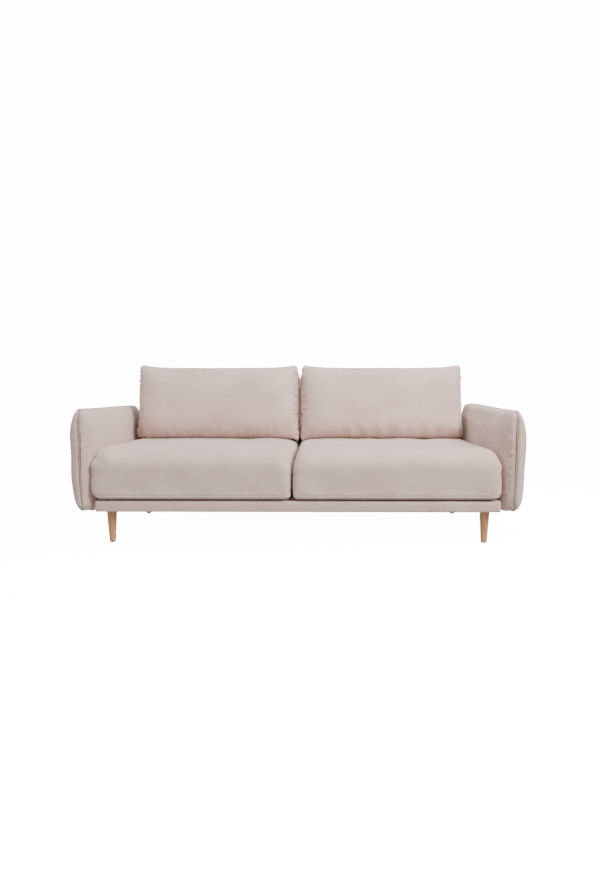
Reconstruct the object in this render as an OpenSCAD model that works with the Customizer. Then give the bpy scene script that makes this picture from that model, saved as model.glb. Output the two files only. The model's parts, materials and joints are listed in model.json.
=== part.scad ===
// Two-cushion sofa on four turned wooden legs.
// X runs to the sitter's left-hand arm as seen from the front, Y from front to back, Z up from the floor.
// Every padded unit is a timber frame, foam, and a sewn cover; the seat and back cushions are loose.

/* [Overall] */
// Width across the fullest part of the arms
sofa_w = 2300; // [2150:10:2450]
// Depth from the arm fronts to the back
sofa_d = 930; // [910:10:960]
// Height of the arms
arm_top = 684; // [670:2:700]
// Thickness of an arm at its fullest
arm_w = 136; // [132:2:144]

/* [Base] */
// Height of the underside of the base
base_z = 168; // [155:1:180]
// Height of the base rails with their cover
base_h = 53; // [50:1:60]
// Thickness of a base timber
rail_t = 28; // [24:1:30]

/* [Legs] */
// Radius at the top of a leg
leg_top_r = 26.5; // [22:0.5:30]
// Radius at the foot of a leg
leg_foot_r = 16.5; // [14:0.5:20]
// Distance of a leg's axis from an arm's inner face
leg_in_x = 63; // [60:1:70]

/* [Cushions] */
// Thickness of a seat cushion
seat_t = 255; // [220:1:260]
// Sideways offset, at the front, of the split between the two seat cushions
seat_split_x = -27; // [-30:1:30]
// Height of a back cushion along its slope
pillow_h = 440; // [400:5:460]
// Thickness of a back cushion at its fullest
pillow_t = 190; // [170:5:200]
// Backward lean of the back cushions
lean = 12; // [8:1:14]

/* [Details] */
// Thickness of the upholstery fabric
cloth_t = 1.6; // [1:0.1:2]
// Radius of the welt cord sewn into the arm seams
welt_r = 3.5; // [3:0.5:4]
// Segments in each rounded corner of a padded form
corner_steps = 6; // [4:1:8]

/* [Hidden] */
gap = 0.2;                       // clearance between neighbouring layers
front_y = -sofa_d / 2;
rear_y = sofa_d / 2;

// Arms
arm_in_x = sofa_w / 2 - arm_w;   // inner face of an arm
welt_off = welt_r + 0.3;         // from the form's edge to the middle of the welt
arm_z0 = base_z - 6;             // bottom of the arm's form
arm_z1 = arm_top - welt_off - welt_r;
arm_y0 = front_y + welt_off + welt_r;
arm_y1 = rear_y - welt_off - welt_r;
seam_x0 = arm_in_x + 46;         // the welt's plane at the foot of the arm
seam_lean = 1.5;                 // outward lean of that plane, in degrees
seam_corner = 55;
seam_reach = 5;                  // how far a cover's hollow runs on past its seam
seam_ease = 0.7;
// Each slice: across from the inner face, then front, rear, bottom and top insets, then corner radius
arm_inner = [[0, 110, 80, 0, 104, 60], [6, 66, 55, 0, 62, 62], [17, 34, 28, 0, 28, 64],
             [34, 11, 10, 0, 8, 60]];
arm_outer = [[84, 5, 5, 5, 4, 64], [112, 16, 16, 24, 18, 80], [128, 38, 38, 72, 46, 95],
             [136, 88, 84, 160, 86, 80]];

// Timber frame inside an arm
arm_frame_x0 = arm_in_x + 34;
arm_frame_t = 35;
arm_frame_w = 45;                // width of its posts and rails
arm_frame_y = sofa_d / 2 - 58;   // half its depth
arm_frame_z0 = base_z + 16;
arm_frame_z1 = arm_top - 65;
panel_t = 3.8;
bolt_way_x1 = arm_frame_x0 + 80;

// Base frame
base_x = arm_in_x - 2;           // half the length of the base timbers
base_y0 = front_y + 27;          // front face of the front rail
back_y0 = rear_y - 120;          // front face of the back unit
base_y1 = back_y0 - 5;           // rear face of the rear rail
cover_y0 = front_y + 25;         // front face of the base cover
cover_reach = 40;                // how far the base cover turns in behind its front face
cover_r = 6;                     // radius of its edges
rail_ease = 3.5;                 // bevel on the front rail's front edges
lining_y0 = cover_y0 + cover_reach + 2;
timber_z0 = base_z + 2.2;
timber_z1 = base_z + base_h - 4;
corner_block = 60;               // corner block, in plan
block_z1 = timber_z1 - 4;
stretcher_z1 = timber_z1 - 12;   // the stretchers stay clear of the webbing
strap_w = 60;
strap_t = 1.2;
strap_pitch = 165;
cross_straps = 11;
long_straps = 4;
long_pitch = 150;
deck_z0 = timber_z1 + 3;
deck_z1 = base_z + base_h + 0.6;

// Legs
leg_x = arm_in_x - leg_in_x;
leg_front_y = base_y0 + rail_t + corner_block / 2;
leg_rear_y = base_y1 - rail_t - corner_block / 2;
glide_t = 4;
glide_inset = 3;                 // a glide's radius is this much less than the foot's
foot_bevel = 1.8;
leg_z1 = base_z - gap;

// Fasteners: M8 bolts and tee nuts
bolt_r = 4;
bolt_hole_r = 4.6;
nut_r = 5.4;
nut_l = 10;
nut_flange_r = 10;
nut_flange_t = 1.5;
washer_t = 1.6;
washer_r = 9;
head_h = 5.3;
head_r = 7.5;
hanger_l = 58;                   // length of a hanger bolt inside its leg
bolt_z = base_z + 30;
side_bolts_y = [-250, 180];
back_bolts_x = [-580, 0, 580];
post_bolt_z = 500;

// Back unit
back_x = arm_in_x - 4;
back_seam = 55;                  // seam of the back unit, behind its front face
back_seam_corner = 40;
back_top = arm_top - 8;
back_front = [[0, 7, 7, 0, 32, 25], [7, 1, 1, 0, 17, 30]];
back_rear = [[95, 6, 6, 16, 12, 50], [111, 41, 41, 56, 42, 60], [118, 131, 131, 136, 102, 60]];
back_frame_y0 = back_y0 + 27;
back_frame_x = back_x - 18;
back_strap_count = 10;

// Cushions
seat_z0 = deck_z1 + 1.9;
seat_z1 = seat_z0 + seat_t;
seat_y0 = front_y + 10;
seat_y1 = back_y0 - 13;
seat_x = arm_in_x - 3;
seat_play = 2;                   // half the space between the two seat cushions
wrap_t = 20;
pillow_x = arm_in_x - 24;
pillow_play = 4;                 // half the space between the two back cushions
pillow_base_y = 205;
pillow_z0 = seat_z1 + 2;
// Each slice: share of half the thickness, then inset from the seam, then corner radius
pillow_slices = [[0, 0, 30], [0.42, 14, 45], [0.79, 45, 65], [1, 100, 80]];

// Zips
zip_w = 25;
zip_t = 1;
zip_gap = 100;                   // from the cushion's end to the zip
coil_w = 5;
coil_h = 1.2;
slider_l = 12;
slider_w = 10;
slider_h = 5;
slider_rest = 14;                // from the zip's end to the slider's middle
pull_l = 30;
pull_w = 6;
pull_t = 1.2;
seat_zip_z = seat_z0 + 102;      // height of a seat cushion's zip
pillow_zip_z = 125;              // height of a back cushion's zip along its slope

FABRIC = "#cbb9af";
TIMBER = "#d8bd8f";
LEG = "#c8996f";
FOAM = "#ece3c4";
STEEL = "#9aa0a5";

// ---------- shared shapes ----------

// Points of one rounded corner, from angle a
function corner(x, y, r, a) =
    [for (i = [0:corner_steps]) let (b = a + 90 * i / corner_steps) [x + r * cos(b), y + r * sin(b)]];

// Outline of a rounded rectangle
function rounded(x0, x1, y0, y1, r) =
    concat(corner(x1 - r, y1 - r, r, 0), corner(x0 + r, y1 - r, r, 90),
           corner(x0 + r, y0 + r, r, 180), corner(x1 - r, y0 + r, r, 270));

// Stands the XY plane up facing +X: x goes to Y, y to Z and z to X
module face_x() {
    rotate([90, 0, 90]) children();
}

// Stands the XY plane up facing -Y: x stays, y goes to Z and z to -Y
module face_y() {
    rotate([90, 0, 0]) children();
}

// A box given by its lowest and highest corners
module block(low, high) {
    translate(low) cube(high - low);
}

module mirrored(side) {
    if (side < 0) mirror([1, 0, 0]) children();
    else children();
}

// Bolt, hole or sleeve along X from x0 to x1
module along_x(x0, x1, y, z, r) {
    translate([x0, y, z]) rotate([0, 90, 0]) cylinder(h = x1 - x0, r = r, $fn = 32);
}

module along_y(x, y0, y1, z, r) {
    translate([x, y0, z]) rotate([-90, 0, 0]) cylinder(h = y1 - y0, r = r, $fn = 32);
}

module along_z(x, y, z0, z1, r) {
    translate([x, y, z0]) cylinder(h = z1 - z0, r = r, $fn = 32);
}

// ---------- arms, drawn for the right-hand side ----------

// A thin slice of the arm's form across X, drawn in by t
module arm_slice(s, t, way) {
    translate([arm_in_x + s[0] + way * t, 0, 0])
        face_x() linear_extrude(0.01)
            polygon(rounded(arm_y0 + s[1] + t, arm_y1 - s[2] - t,
                            arm_z0 + s[3] + t, arm_z1 - s[4] - t, s[5] - t));
}

// The slice in the leaning plane of the welt
module arm_seam_slice(t, shift) {
    translate([seam_x0 + shift, 0, arm_z0]) rotate([0, seam_lean, 0])
        face_x() linear_extrude(0.01)
            polygon(rounded(arm_y0 + t, arm_y1 - t, t, arm_z1 - arm_z0 - t, seam_corner - t));
}

// Where a padded half's slices stand at its seam. A hollow is at full outline from just inside the seam
// to reach past it, so that the foam fits in and the cover is open there.
function seam_shifts(reach) = reach > 0 ? [seam_ease, -reach] : [0];

module arm_inner_form(t, reach = 0) {
    hull() {
        for (s = arm_inner) arm_slice(s, t, 1);
        for (d = seam_shifts(reach)) arm_seam_slice(t, -gap - d);
    }
}

module arm_outer_form(t, reach = 0) {
    hull() {
        for (s = arm_outer) arm_slice(s, t, -1);
        for (d = seam_shifts(reach)) arm_seam_slice(t, gap + d);
    }
}

module arm_frame_space() {
    block([arm_frame_x0 - panel_t - 2 * gap, -arm_frame_y - 1, arm_frame_z0 - 1],
          [arm_frame_x0 + arm_frame_t + nut_flange_t + 1, arm_frame_y + 1, arm_frame_z1 + 1]);
}

// Ways for the bolts that hold an arm to the base and to the back
module arm_bolt_ways(r) {
    for (y = side_bolts_y) along_x(arm_in_x - 40, bolt_way_x1, y, bolt_z, r);
    along_x(arm_in_x - 80, bolt_way_x1, arm_frame_y - arm_frame_w / 2, post_bolt_z, r);
}

module arm_nut_seats() {
    x1 = arm_frame_x0 + arm_frame_t + 1;
    for (y = side_bolts_y) along_x(x1 - nut_l - 1, x1, y, bolt_z, nut_r + 0.1);
    along_x(x1 - nut_l - 1, x1, arm_frame_y - arm_frame_w / 2, post_bolt_z, nut_r + 0.1);
}

module arm_posts(side) {
    mirrored(side) color(TIMBER) difference() {
        for (y = [-arm_frame_y, arm_frame_y - arm_frame_w])
            block([arm_frame_x0, y, arm_frame_z0],
                  [arm_frame_x0 + arm_frame_t, y + arm_frame_w, arm_frame_z1]);
        arm_bolt_ways(bolt_hole_r);
        arm_nut_seats();
    }
}

module arm_rails(side) {
    half = arm_frame_y - arm_frame_w;
    mirrored(side) color(TIMBER) difference() {
        for (z = [arm_frame_z0, arm_frame_z1 - arm_frame_w])
            block([arm_frame_x0, -half, z], [arm_frame_x0 + arm_frame_t, half, z + arm_frame_w]);
        arm_bolt_ways(bolt_hole_r);
        arm_nut_seats();
    }
}

module arm_panel(side) {
    mirrored(side) color("#a98a63") difference() {
        block([arm_frame_x0 - panel_t, -arm_frame_y + 5, arm_frame_z0 + 5],
              [arm_frame_x0, arm_frame_y - 5, arm_frame_z1 - 5]);
        arm_bolt_ways(bolt_hole_r);
    }
}

module arm_inner_foam(side) {
    mirrored(side) color(FOAM) difference() {
        arm_inner_form(cloth_t + gap);
        arm_frame_space();
        arm_bolt_ways(bolt_hole_r + 2);
    }
}

module arm_outer_foam(side) {
    mirrored(side) color(FOAM) difference() {
        arm_outer_form(cloth_t + gap);
        arm_frame_space();
        arm_bolt_ways(bolt_hole_r + 2);
    }
}

module arm_inner_cover(side) {
    mirrored(side) color(FABRIC) difference() {
        arm_inner_form(0);
        arm_inner_form(cloth_t, seam_reach);
        arm_bolt_ways(bolt_hole_r + 1);
    }
}

module arm_outer_cover(side) {
    mirrored(side) color(FABRIC) difference() {
        arm_outer_form(0);
        arm_outer_form(cloth_t, seam_reach);
    }
}

// The welt: a cord in a fabric sleeve, sewn all round the arm where its two covers meet
module arm_welt(side) {
    h = arm_z1 - arm_z0;
    mirrored(side) color("#bfaca2") translate([seam_x0, 0, arm_z0]) rotate([0, seam_lean, 0])
        face_x() welt_loop(arm_y0 - welt_off, arm_y1 + welt_off, -welt_off, h + welt_off,
                           seam_corner + welt_off);
}

// A round cord along a rounded rectangle in the XY plane
module welt_loop(x0, x1, y0, y1, r) {
    for (c = [[x1 - r, y1 - r, 0], [x0 + r, y1 - r, 90], [x0 + r, y0 + r, 180], [x1 - r, y0 + r, 270]])
        translate([c[0], c[1], 0]) rotate([0, 0, c[2]])
            rotate_extrude(angle = 90, $fn = 48) translate([r, 0]) circle(welt_r, $fn = 24);
    for (x = [x0, x1])
        translate([x, y0 + r, 0]) rotate([-90, 0, 0]) cylinder(h = y1 - y0 - 2 * r, r = welt_r, $fn = 24);
    for (y = [y0, y1])
        translate([x0 + r, y, 0]) rotate([0, 90, 0]) cylinder(h = x1 - x0 - 2 * r, r = welt_r, $fn = 24);
}

// ---------- base ----------

// The front rail's two front edges are eased so that its cover turns round them
module front_rail() {
    y0 = base_y0;
    e = rail_ease;
    color(TIMBER) translate([-base_x, 0, 0]) face_x() linear_extrude(2 * base_x)
        polygon([[y0, timber_z0 + e], [y0 + e, timber_z0], [y0 + rail_t, timber_z0], [y0 + rail_t, timber_z1],
                 [y0 + e, timber_z1], [y0, timber_z1 - e]]);
}

module rear_rail() {
    color(TIMBER) difference() {
        block([-base_x, base_y1 - rail_t, timber_z0], [base_x, base_y1, timber_z1]);
        for (x = back_bolts_x) along_y(x, base_y1 - rail_t - 1, base_y1 + 1, bolt_z, bolt_hole_r);
    }
}

module side_rail(side) {
    mirrored(side) color(TIMBER) difference() {
        block([base_x - rail_t, base_y0 + rail_t, timber_z0], [base_x, base_y1 - rail_t, timber_z1]);
        arm_bolt_ways(bolt_hole_r);
    }
}

module centre_stretchers() {
    color(TIMBER) for (x = [-base_x / 3, base_x / 3])
        block([x - rail_t / 2, base_y0 + rail_t, timber_z0],
              [x + rail_t / 2, base_y1 - rail_t, stretcher_z1]);
}

module at_legs() {
    for (x = [-leg_x, leg_x], y = [leg_front_y, leg_rear_y]) translate([x, y, 0]) children();
}

module corner_blocks() {
    x1 = base_x - rail_t;
    color(TIMBER) difference() {
        for (side = [-1, 1], y = [leg_front_y, leg_rear_y])
            mirrored(side)
                block([x1 - corner_block, y - corner_block / 2, timber_z0],
                      [x1, y + corner_block / 2, block_z1]);
        at_legs() along_z(0, 0, timber_z0 - 1, block_z1 + 1, bolt_hole_r);
        at_legs() along_z(0, 0, block_z1 - nut_l, block_z1 + 1, nut_r + 0.1);
    }
}

cross_x = [for (i = [0:cross_straps - 1]) (i - (cross_straps - 1) / 2) * strap_pitch];
long_y = [for (i = [0:long_straps - 1]) (i - (long_straps - 1) / 2) * long_pitch + (base_y0 + base_y1) / 2];

// Height of a lengthwise strap's underside at the cross strap i, for row j: over, then under
function weave_z(i, j) = (i + j) % 2 == 0 ? timber_z1 + strap_t + gap : timber_z1 - strap_t - gap;

// A lengthwise strap's underside: on a side rail, through the cross straps, and onto the other rail
function weave_line(j) =
    concat([[-base_x + 5, timber_z1], [-base_x + rail_t + 4, timber_z1]],
           [for (i = [0:cross_straps - 1], s = [-1, 1]) [cross_x[i] + s * (strap_w / 2 + 8), weave_z(i, j)]],
           [[base_x - rail_t - 4, timber_z1], [base_x - 5, timber_z1]]);

function raised(line, h) = [for (i = [len(line) - 1:-1:0]) line[i] + [0, h]];

module seat_webbing() {
    color("#c9bda0") {
        for (x = cross_x)
            block([x - strap_w / 2, base_y0 + 3, timber_z1],
                  [x + strap_w / 2, base_y1 - 3, timber_z1 + strap_t]);
        for (j = [0:long_straps - 1])
            translate([0, long_y[j] + strap_w / 2, 0]) face_y() linear_extrude(strap_w)
                polygon(concat(weave_line(j), raised(weave_line(j), strap_t)));
    }
}

module deck_cloth() {
    color("#8f857c") block([-base_x + 3, lining_y0, deck_z0], [base_x - 3, base_y1 - 2, deck_z0 + 1]);
}

// Fabric wrapped round the front rail, a channel open to the rear
module base_cover() {
    t = cloth_t;
    r = cover_r;
    z0 = base_z;
    z1 = deck_z1;
    outside = concat(corner(cover_y0 + r, z1 - r, r, 90), corner(cover_y0 + r, z0 + r, r, 180));
    inside = concat(corner(cover_y0 + r, z1 - r, r - t, 90), corner(cover_y0 + r, z0 + r, r - t, 180));
    back = cover_y0 + cover_reach;
    lip = [[back, z0], [back, z0 + t]];
    inner_edge = [for (i = [len(inside) - 1:-1:0]) inside[i]];
    color(FABRIC) translate([-base_x - 1, 0, 0]) face_x() linear_extrude(2 * base_x + 2)
        polygon(concat([[back, z1]], outside, lip, inner_edge, [[back, z1 - t]]));
}

module dust_cover() {
    color("#2c2b2a") difference() {
        block([-base_x + 3, lining_y0, base_z + 0.6], [base_x - 3, base_y1 - 2, base_z + 1.6]);
        at_legs() along_z(0, 0, base_z - 1, base_z + 3, bolt_hole_r);
    }
}

// ---------- legs and fasteners ----------

module leg(x, y) {
    color(LEG) translate([x, y, 0]) difference() {
        union() {
            translate([0, 0, glide_t])
                cylinder(h = foot_bevel, r1 = leg_foot_r - foot_bevel, r2 = leg_foot_r, $fn = 64);
            translate([0, 0, glide_t + foot_bevel])
                cylinder(h = leg_z1 - glide_t - foot_bevel, r1 = leg_foot_r, r2 = leg_top_r, $fn = 64);
        }
        along_z(0, 0, leg_z1 - hanger_l - 2, leg_z1 + 1, bolt_r + 0.1);
    }
}

module leg_glides() {
    color("#7d7770") at_legs() cylinder(h = glide_t, r = leg_foot_r - glide_inset, $fn = 48);
}

module hanger_bolts() {
    color(STEEL) at_legs() along_z(0, 0, leg_z1 - hanger_l, block_z1 - 1, bolt_r);
}

// A tee nut: flange at z 0 and its barrel below
module t_nut() {
    difference() {
        union() {
            cylinder(h = nut_flange_t, r = nut_flange_r, $fn = 32);
            translate([0, 0, 0.5 - nut_l]) cylinder(h = nut_l, r = nut_r, $fn = 32);
        }
        translate([0, 0, -nut_l]) cylinder(h = nut_l + 3, r = bolt_r + 0.1, $fn = 32);
    }
}

// Places an outward-facing fastener at the head or nut end of each arm bolt, on both arms
module at_arm_bolts(x) {
    for (side = [-1, 1]) mirrored(side) {
        for (y = side_bolts_y) translate([x[0], y, bolt_z]) rotate([0, 90, 0]) children();
        translate([x[1], arm_frame_y - arm_frame_w / 2, post_bolt_z]) rotate([0, 90, 0]) children();
    }
}

module at_back_bolts(y) {
    for (x = back_bolts_x) translate([x, y, bolt_z]) rotate([-90, 0, 0]) children();
}

arm_nut_x = arm_frame_x0 + arm_frame_t;
back_nut_y = back_frame_y0 + arm_frame_t;
head_x = [base_x - rail_t, back_frame_x - arm_frame_w];

module t_nuts() {
    color(STEEL) {
        at_legs() translate([0, 0, block_z1]) t_nut();
        at_arm_bolts([arm_nut_x, arm_nut_x]) t_nut();
        at_back_bolts(back_nut_y) t_nut();
    }
}

// A hexagon-head bolt whose head bears on z 0 through a washer
module hex_bolt(length) {
    translate([0, 0, -washer_t - head_h]) cylinder(h = head_h, r = head_r, $fn = 6);
    translate([0, 0, -washer_t]) cylinder(h = length + washer_t, r = bolt_r, $fn = 32);
}

module joining_bolts() {
    side_l = arm_nut_x - head_x[0];
    post_l = arm_nut_x - head_x[1];
    color(STEEL) {
        for (side = [-1, 1]) mirrored(side) {
            for (y = side_bolts_y) translate([head_x[0], y, bolt_z]) rotate([0, 90, 0]) hex_bolt(side_l);
            translate([head_x[1], arm_frame_y - arm_frame_w / 2, post_bolt_z])
                rotate([0, 90, 0]) hex_bolt(post_l);
        }
        at_back_bolts(base_y1 - rail_t) hex_bolt(back_nut_y - base_y1 + rail_t);
    }
}

module washer() {
    translate([0, 0, -washer_t]) difference() {
        cylinder(h = washer_t, r = washer_r, $fn = 32);
        translate([0, 0, -1]) cylinder(h = washer_t + 2, r = bolt_r + 0.2, $fn = 32);
    }
}

module bolt_washers() {
    color(STEEL) {
        at_arm_bolts(head_x) washer();
        at_back_bolts(base_y1 - rail_t) washer();
    }
}

// ---------- back unit ----------

// A thin slice of the back's form across Y, drawn in by t
module back_slice(s, t, way) {
    translate([0, back_y0 + s[0] + way * t, 0])
        face_y() linear_extrude(0.01)
            polygon(rounded(-back_x + s[1] + t, back_x - s[2] - t,
                            base_z + s[3] + t, back_top - s[4] - t, s[5] - t));
}

module back_seam_slice(t, shift) {
    back_slice([back_seam + shift, 0, 0, 0, 0, back_seam_corner], t, 0);
}

module back_front_form(t, reach = 0) {
    hull() {
        for (s = back_front) back_slice(s, t, 1);
        for (d = seam_shifts(reach)) back_seam_slice(t, -gap - d);
    }
}

module back_rear_form(t, reach = 0) {
    hull() {
        for (s = back_rear) back_slice(s, t, -1);
        for (d = seam_shifts(reach)) back_seam_slice(t, gap + d);
    }
}

module back_frame_space() {
    block([-back_frame_x - 1, back_frame_y0 - strap_t - 1, arm_frame_z0 - 1],
          [back_frame_x + 1, back_nut_y + nut_flange_t + 1, arm_frame_z1 + 1]);
}

// Ways for the bolts from the base and from the arms
module back_bolt_ways(r) {
    for (x = back_bolts_x) along_y(x, back_y0 - 20, back_nut_y + 3, bolt_z, r);
    for (side = [-1, 1]) mirrored(side) arm_bolt_ways(r);
}

module back_nut_seats() {
    for (x = back_bolts_x) along_y(x, back_nut_y - nut_l, back_nut_y + 1, bolt_z, nut_r + 0.1);
}

module back_posts() {
    y1 = back_frame_y0 + arm_frame_t;
    color(TIMBER) difference() {
        for (x = [-back_frame_x, -arm_frame_w / 2, back_frame_x - arm_frame_w])
            block([x, back_frame_y0, arm_frame_z0 + arm_frame_w],
                  [x + arm_frame_w, y1, arm_frame_z1 - arm_frame_w]);
        back_bolt_ways(bolt_hole_r);
    }
}

module back_rails() {
    y1 = back_frame_y0 + arm_frame_t;
    color(TIMBER) difference() {
        for (z = [arm_frame_z0, arm_frame_z1 - arm_frame_w])
            block([-back_frame_x, back_frame_y0, z], [back_frame_x, y1, z + arm_frame_w]);
        back_bolt_ways(bolt_hole_r);
        back_nut_seats();
    }
}

module back_webbing() {
    pitch = 2 * back_frame_x / (back_strap_count + 1);
    color("#c9bda0") for (i = [1:back_strap_count])
        block([i * pitch - back_frame_x - strap_w / 2, back_frame_y0 - strap_t, arm_frame_z0 + 5],
              [i * pitch - back_frame_x + strap_w / 2, back_frame_y0, arm_frame_z1 - 5]);
}

module back_front_foam() {
    color(FOAM) difference() {
        back_front_form(cloth_t + gap);
        back_frame_space();
        back_bolt_ways(bolt_hole_r + 2);
    }
}

module back_rear_foam() {
    color(FOAM) difference() {
        back_rear_form(cloth_t + gap);
        back_frame_space();
    }
}

module back_inside_cover() {
    color(FABRIC) difference() {
        back_front_form(0);
        back_front_form(cloth_t, seam_reach);
        back_bolt_ways(bolt_hole_r + 1);
    }
}

module back_outside_cover() {
    color(FABRIC) difference() {
        back_rear_form(0);
        back_rear_form(cloth_t, seam_reach);
    }
}

// ---------- seat cushions ----------

// The span of a seat cushion in X where the split is at x: side -1 is the left one
function seat_span(side, x = 0) = side < 0 ? [-seat_x, x - seat_play] : [x + seat_play, seat_x];

// A seat cushion's form, drawn in by t: a waterfall front edge and tighter edges elsewhere.
// The split between the cushions runs askew, from seat_split_x at the front to the middle at the rear.
module seat_form(side, t) {
    // Each edge: Y and Z of the edge, which way is inwards, its radius, and where the split is
    front = seat_split_x;
    edges = [[seat_y0, seat_z1, 1, -1, 85, front], [seat_y0, seat_z1 - 50, 1, -1, 50, front],
             [seat_y0, seat_z0, 1, 1, 26, front],
             [seat_y1, seat_z1, -1, -1, 40, 0], [seat_y1, seat_z0, -1, 1, 26, 0]];
    hull() for (e = edges, end = [0, 1])
        translate([seat_span(side, e[5])[end] + (1 - 2 * end) * e[4],
                   e[0] + e[2] * e[4], e[1] + e[3] * e[4]])
            sphere(e[4] - t, $fn = 24);
}

module seat_cover(side) {
    color(FABRIC) difference() {
        seat_form(side, 0);
        seat_form(side, cloth_t);
    }
}

module seat_wrap(side) {
    color("#f4f1e8") difference() {
        seat_form(side, cloth_t + gap);
        seat_form(side, cloth_t + gap + wrap_t);
    }
}

module seat_core(side) {
    color(FOAM) seat_form(side, cloth_t + 2 * gap + wrap_t);
}

// ---------- back cushions ----------

module pillow_place() {
    translate([0, pillow_base_y, pillow_z0]) rotate([-lean, 0, 0]) children();
}

function pillow_span(side) = side < 0 ? [-pillow_x, -pillow_play] : [pillow_play, pillow_x];

// A back cushion's form before it leans: front and rear panels that meet at a knife-edge seam
module pillow_form(side, t) {
    span = pillow_span(side);
    hull() for (s = pillow_slices, way = [-1, 1])
        translate([0, way * (s[0] * pillow_t / 2 - (s[0] > 0 ? t : 0)), 0])
            face_y() linear_extrude(0.01)
                polygon(rounded(span[0] + s[1] + t, span[1] - s[1] - t,
                                s[1] + t, pillow_h - s[1] - t, s[2] - t));
}

module pillow_cover(side) {
    color(FABRIC) pillow_place() difference() {
        pillow_form(side, 0);
        pillow_form(side, cloth_t);
    }
}

module pillow_fill(side) {
    color("#f7f5ef") pillow_place() pillow_form(side, cloth_t + gap);
}

// ---------- zips ----------

// A zip lying in XZ against y 0: tape, coil and end stops
module zip_strip(x0, x1) {
    block([x0, 0, -zip_w / 2], [x1, zip_t, zip_w / 2]);
    block([x0 + 4, zip_t / 2, -coil_w / 2], [x1 - 4, zip_t + coil_h, coil_w / 2]);
}

// The slider round the coil, with its pull lying along the zip: way is 1 or -1 along X
module zip_slider(x, way) {
    translate([x, 0, 0]) rotate([0, way > 0 ? 0 : 180, 0]) {
        difference() {
            block([-slider_l / 2, zip_t + gap, -slider_w / 2], [slider_l / 2, slider_h, slider_w / 2]);
            block([-slider_l, 0, -coil_w / 2 - gap], [slider_l, zip_t + coil_h + gap, coil_w / 2 + gap]);
        }
        block([slider_l / 3, slider_h - 0.4 - pull_t, -pull_w / 2],
              [slider_l / 3 + pull_l, slider_h - 0.4, pull_w / 2]);
    }
}

function zip_span(span) = [span[0] + zip_gap, span[1] - zip_gap];

module seat_zip_place() {
    translate([0, seat_y1 + gap, seat_zip_z]) children();
}

module pillow_zip_place() {
    pillow_place() translate([0, pillow_t / 2 + gap, pillow_zip_z]) children();
}

module seat_zip(side) {
    span = zip_span(seat_span(side));
    color("#a99b92") seat_zip_place() zip_strip(span[0], span[1]);
}

module pillow_zip(side) {
    span = zip_span(pillow_span(side));
    color("#a99b92") pillow_zip_place() zip_strip(span[0], span[1]);
}

// Each slider rests at the outer end of its zip and travels towards the middle of the sofa
function rest_x(span, side) = side < 0 ? span[0] + slider_rest : span[1] - slider_rest;

module seat_zip_slider(side) {
    span = zip_span(seat_span(side));
    color(STEEL) seat_zip_place() zip_slider(rest_x(span, side), -side);
}

module pillow_zip_slider(side) {
    span = zip_span(pillow_span(side));
    color(STEEL) pillow_zip_place() zip_slider(rest_x(span, side), -side);
}

// ---------- parts ----------

front_rail();
rear_rail();
side_rail(-1);  // left_side_rail
side_rail(1);  // right_side_rail
centre_stretchers();
corner_blocks();
seat_webbing();
deck_cloth();
base_cover();
dust_cover();
leg(-leg_x, leg_front_y);  // front_left_leg
leg(leg_x, leg_front_y);  // front_right_leg
leg(-leg_x, leg_rear_y);  // rear_left_leg
leg(leg_x, leg_rear_y);  // rear_right_leg
leg_glides();
hanger_bolts();
t_nuts();
joining_bolts();
bolt_washers();
arm_posts(-1);  // left_arm_posts
arm_rails(-1);  // left_arm_rails
arm_panel(-1);  // left_arm_panel
arm_inner_foam(-1);  // left_arm_inner_foam
arm_outer_foam(-1);  // left_arm_outer_foam
arm_inner_cover(-1);  // left_arm_inner_cover
arm_outer_cover(-1);  // left_arm_outer_cover
arm_welt(-1);  // left_arm_welt
arm_posts(1);  // right_arm_posts
arm_rails(1);  // right_arm_rails
arm_panel(1);  // right_arm_panel
arm_inner_foam(1);  // right_arm_inner_foam
arm_outer_foam(1);  // right_arm_outer_foam
arm_inner_cover(1);  // right_arm_inner_cover
arm_outer_cover(1);  // right_arm_outer_cover
arm_welt(1);  // right_arm_welt
back_posts();
back_rails();
back_webbing();
back_front_foam();
back_rear_foam();
back_inside_cover();
back_outside_cover();
seat_core(-1);  // left_seat_core
seat_wrap(-1);  // left_seat_wrap
seat_cover(-1);  // left_seat_cover
seat_zip(-1);  // left_seat_zip
seat_zip_slider(-1);  // left_seat_zip_slider
seat_core(1);  // right_seat_core
seat_wrap(1);  // right_seat_wrap
seat_cover(1);  // right_seat_cover
seat_zip(1);  // right_seat_zip
seat_zip_slider(1);  // right_seat_zip_slider
pillow_fill(-1);  // left_pillow_fill
pillow_cover(-1);  // left_pillow_cover
pillow_zip(-1);  // left_pillow_zip
pillow_zip_slider(-1);  // left_pillow_zip_slider
pillow_fill(1);  // right_pillow_fill
pillow_cover(1);  // right_pillow_cover
pillow_zip(1);  // right_pillow_zip
pillow_zip_slider(1);  // right_pillow_zip_slider
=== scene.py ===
"""Looks of a two-cushion upholstered sofa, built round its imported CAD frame.

Metres; +X is the arm on the right as seen from the front, +Y the back, +Z up. Each cover is the hull
of its CAD solid, remeshed, blown up as cloth while its seams are held, and then shaped by vertex moves.
"""

import json
import math

import bmesh
import bpy
import numpy as np
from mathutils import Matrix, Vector
from mathutils.bvhtree import BVHTree

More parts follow.
